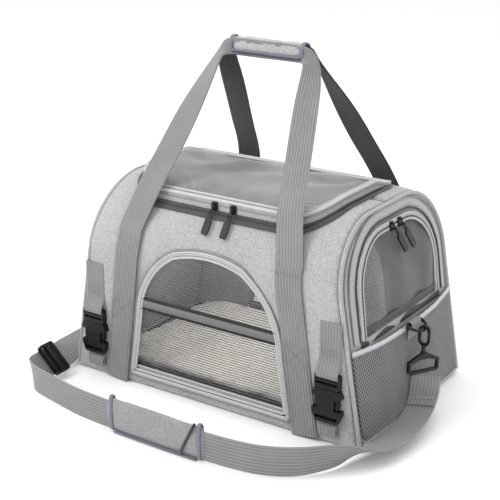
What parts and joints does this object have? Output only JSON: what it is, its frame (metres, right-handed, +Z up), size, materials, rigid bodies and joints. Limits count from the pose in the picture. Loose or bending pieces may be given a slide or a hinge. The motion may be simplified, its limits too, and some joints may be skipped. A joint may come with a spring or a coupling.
{
  "type": "pet carrier bag",
  "caption": "Soft-sided pet carrier: mesh windows, mesh lid and end doors that open, folding twin carry loops, buckles, clip-on shoulder strap and a fleece floor pad.",
  "frame": {"origin": "centre of the base on the floor, under the middle of the box of the carrier without its shoulder strap", "axes": "+Z up, +X to the right along the length, -Y is the front with the buckles"},
  "size_m": [0.5424, 0.4086, 0.456],
  "materials": {
    "body_cloth": "heather grey woven polyester over thin foam",
    "window_mesh": "dark see-through mesh cloth",
    "binding": "light grey bound tape",
    "pocket_mesh": "stretch diamond mesh",
    "reflective": "black tape with a silver reflective stripe",
    "webbing": "ribbed grey webbing",
    "padded_cloth": "padded heather grey cloth",
    "black_plastic": "moulded black acetal",
    "dark_metal": "dark plated metal",
    "black_rubber": "soft moulded rubber",
    "board": "stiff plastic board",
    "fleece": "cream fleece"
  },
  "bodies": {
    "carrier": {"back_panel": "body_cloth", "back_strap_left": "webbing", "back_strap_right": "webbing", "back_window_binding": "binding", "back_window_mesh": "window_mesh", "base_board": "board", "base_panel": "body_cloth", "buckle_socket_left": "black_plastic", "buckle_socket_right": "black_plastic", "buckle_webbing_left": "webbing", "buckle_webbing_right": "webbing", "end_panel_left": "body_cloth", "end_panel_right": "body_cloth", "front_panel": "body_cloth", "front_strap_left": "webbing", "front_strap_right": "webbing", "front_window_binding": "binding", "front_window_mesh": "window_mesh", "pocket_edge_left": "binding", "pocket_edge_right": "binding", "pocket_left": "pocket_mesh", "pocket_right": "pocket_mesh", "reflective_strip": "reflective", "shoulder_strap": "webbing", "triglide": "black_plastic"},
    "front_loop": {"front_handle": "webbing"},
    "back_loop": {"back_handle": "webbing", "grip_wrap": "padded_cloth"},
    "lid": {"lid_band": "binding", "lid_mesh": "window_mesh"},
    "lid_slider_right": {"lid_slider_right": "dark_metal"},
    "lid_pull_right": {"lid_pull_right": "black_rubber"},
    "lid_slider_left": {"lid_slider_left": "dark_metal"},
    "lid_pull_left": {"lid_pull_left": "black_rubber"},
    "door_right": {"door_frame_right": "binding", "door_mesh_right": "window_mesh"},
    "door_slider_right_1": {"door_slider_right_1": "dark_metal"},
    "door_pull_right_1": {"door_pull_right_1": "black_rubber"},
    "door_slider_right_2": {"door_slider_right_2": "dark_metal"},
    "door_pull_right_2": {"door_pull_right_2": "black_rubber"},
    "ring_right": {"d_ring_right": "dark_metal"},
    "hook_right": {"snap_hook_right": "dark_metal"},
    "gate_right": {"hook_gate_right": "dark_metal"},
    "eye_right": {"swivel_eye_right": "dark_metal"},
    "plug_right": {"buckle_plug_right": "black_plastic"},
    "door_left": {"door_frame_left": "binding", "door_mesh_left": "window_mesh"},
    "door_slider_left_1": {"door_slider_left_1": "dark_metal"},
    "door_pull_left_1": {"door_pull_left_1": "black_rubber"},
    "door_slider_left_2": {"door_slider_left_2": "dark_metal"},
    "door_pull_left_2": {"door_pull_left_2": "black_rubber"},
    "ring_left": {"d_ring_left": "dark_metal"},
    "hook_left": {"snap_hook_left": "dark_metal"},
    "gate_left": {"hook_gate_left": "dark_metal"},
    "eye_left": {"swivel_eye_left": "dark_metal"},
    "plug_left": {"buckle_plug_left": "black_plastic"},
    "fleece": {"fleece_pad": "fleece"},
    "shoulder_pad": {"shoulder_pad": "padded_cloth"}
  },
  "joints": [
    {"name": "front_loop_fold", "type": "hinge", "parent": "carrier", "child": "front_loop", "pos_m": [0, -0.12888, 0.21185], "axis": [1, 0, 0], "range_deg": [0, 147]},
    {"name": "back_loop_fold", "type": "hinge", "parent": "carrier", "child": "back_loop", "pos_m": [0, 0.13808, 0.21185], "axis": [-1, 0, 0], "range_deg": [0, 147]},
    {"name": "lid_hinge", "type": "hinge", "parent": "carrier", "child": "lid", "pos_m": [0, 0.0669, 0.2718], "axis": [-1, 0, 0], "range_deg": [0, 110.25]},
    {"name": "lid_zip_right", "type": "slide", "parent": "lid", "child": "lid_slider_right", "axis": [1, 0, 0], "range_m": [0, 0.064]},
    {"name": "lid_pull_swing_right", "type": "hinge", "parent": "lid_slider_right", "child": "lid_pull_right", "pos_m": [0.019, -0.1084, 0.2555], "axis": [-1, 0, 0], "range_deg": [0, 100]},
    {"name": "lid_zip_left", "type": "slide", "parent": "lid", "child": "lid_slider_left", "axis": [-1, 0, 0], "range_m": [0, 0.064]},
    {"name": "lid_pull_swing_left", "type": "hinge", "parent": "lid_slider_left", "child": "lid_pull_left", "pos_m": [-0.009, -0.1084, 0.2555], "axis": [-1, 0, 0], "range_deg": [0, 100]},
    {"name": "door_hinge_right", "type": "hinge", "parent": "carrier", "child": "door_right", "pos_m": [0.20358, 0.0046, 0.12735], "axis": [0, 1, 0], "range_deg": [0, 90]},
    {"name": "door_zip_right_1", "type": "slide", "parent": "door_right", "child": "door_slider_right_1", "axis": [0, 1, 0], "range_m": [-0.02, 0.008]},
    {"name": "door_pull_lift_right_1", "type": "hinge", "parent": "door_slider_right_1", "child": "door_pull_right_1", "pos_m": [0.19172, -0.00433, 0.24161], "axis": [0.0915, -0.8387, -0.5369], "range_deg": [0, 100]},
    {"name": "door_zip_right_2", "type": "slide", "parent": "door_right", "child": "door_slider_right_2", "axis": [0, 1, 0], "range_m": [-0.008, 0.016]},
    {"name": "door_pull_lift_right_2", "type": "hinge", "parent": "door_slider_right_2", "child": "door_pull_right_2", "pos_m": [0.19172, 0.01667, 0.24161], "axis": [0.0915, -0.8387, -0.5369], "range_deg": [0, 100]},
    {"name": "ring_swing_right", "type": "hinge", "parent": "carrier", "child": "ring_right", "pos_m": [0.21891, 0.0046, 0.11951], "axis": [0, -1, 0], "range_deg": [0, 40]},
    {"name": "hook_swing_right", "type": "hinge", "parent": "ring_right", "child": "hook_right", "pos_m": [0.23489, 0.0046, 0.1137], "axis": [0, -1, 0], "range_deg": [0, 25]},
    {"name": "gate_spring_right", "type": "hinge", "parent": "hook_right", "child": "gate_right", "pos_m": [0.24104, 0.0046, 0.0999], "axis": [0, -1, 0], "range_deg": [0, 22], "stiffness_Nm_per_rad": 0.02},
    {"name": "eye_swivel_right", "type": "hinge", "parent": "hook_right", "child": "eye_right", "pos_m": [0.23489, 0.0046, 0.0859], "axis": [0, 0, 1], "range_deg": [0, 35]},
    {"name": "buckle_release_right", "type": "slide", "parent": "carrier", "child": "plug_right", "axis": [0, 0, 1], "range_m": [0, 0.034]},
    {"name": "door_hinge_left", "type": "hinge", "parent": "carrier", "child": "door_left", "pos_m": [-0.20358, 0.0046, 0.12735], "axis": [0, -1, 0], "range_deg": [0, 90]},
    {"name": "door_zip_left_1", "type": "slide", "parent": "door_left", "child": "door_slider_left_1", "axis": [0, -1, 0], "range_m": [-0.02, 0.008]},
    {"name": "door_pull_lift_left_1", "type": "hinge", "parent": "door_slider_left_1", "child": "door_pull_left_1", "pos_m": [-0.19172, 0.01167, 0.24161], "axis": [0.0915, 0.8387, 0.5369], "range_deg": [0, 100]},
    {"name": "door_zip_left_2", "type": "slide", "parent": "door_left", "child": "door_slider_left_2", "axis": [0, -1, 0], "range_m": [-0.008, 0.016]},
    {"name": "door_pull_lift_left_2", "type": "hinge", "parent": "door_slider_left_2", "child": "door_pull_left_2", "pos_m": [-0.19172, -0.00933, 0.24161], "axis": [0.0915, 0.8387, 0.5369], "range_deg": [0, 100]},
    {"name": "ring_swing_left", "type": "hinge", "parent": "carrier", "child": "ring_left", "pos_m": [-0.21891, 0.0046, 0.11951], "axis": [0, 1, 0], "range_deg": [0, 40]},
    {"name": "hook_swing_left", "type": "hinge", "parent": "ring_left", "child": "hook_left", "pos_m": [-0.23489, 0.0046, 0.1137], "axis": [0, 1, 0], "range_deg": [0, 25]},
    {"name": "gate_spring_left", "type": "hinge", "parent": "hook_left", "child": "gate_left", "pos_m": [-0.24104, 0.0046, 0.0999], "axis": [0, 1, 0], "range_deg": [0, 22], "stiffness_Nm_per_rad": 0.02},
    {"name": "eye_swivel_left", "type": "hinge", "parent": "hook_left", "child": "eye_left", "pos_m": [-0.23489, 0.0046, 0.0859], "axis": [0, 0, 1], "range_deg": [0, 35]},
    {"name": "buckle_release_left", "type": "slide", "parent": "carrier", "child": "plug_left", "axis": [0, 0, 1], "range_m": [0, 0.034]},
    {"name": "fleece_lift", "type": "slide", "parent": "carrier", "child": "fleece", "axis": [0, 0, 1], "range_m": [0, 0.08]},
    {"name": "shoulder_pad_slide", "type": "slide", "parent": "carrier", "child": "shoulder_pad", "axis": [1, 0.0092, 0], "range_m": [-0.012, 0.012]}
  ],
  "couplings": [
    {"joint": "front_loop_fold", "follows": "back_loop_fold", "ratio": 1},
    {"joint": "lid_hinge", "follows": "back_loop_fold", "ratio": 0.75}
  ]
}
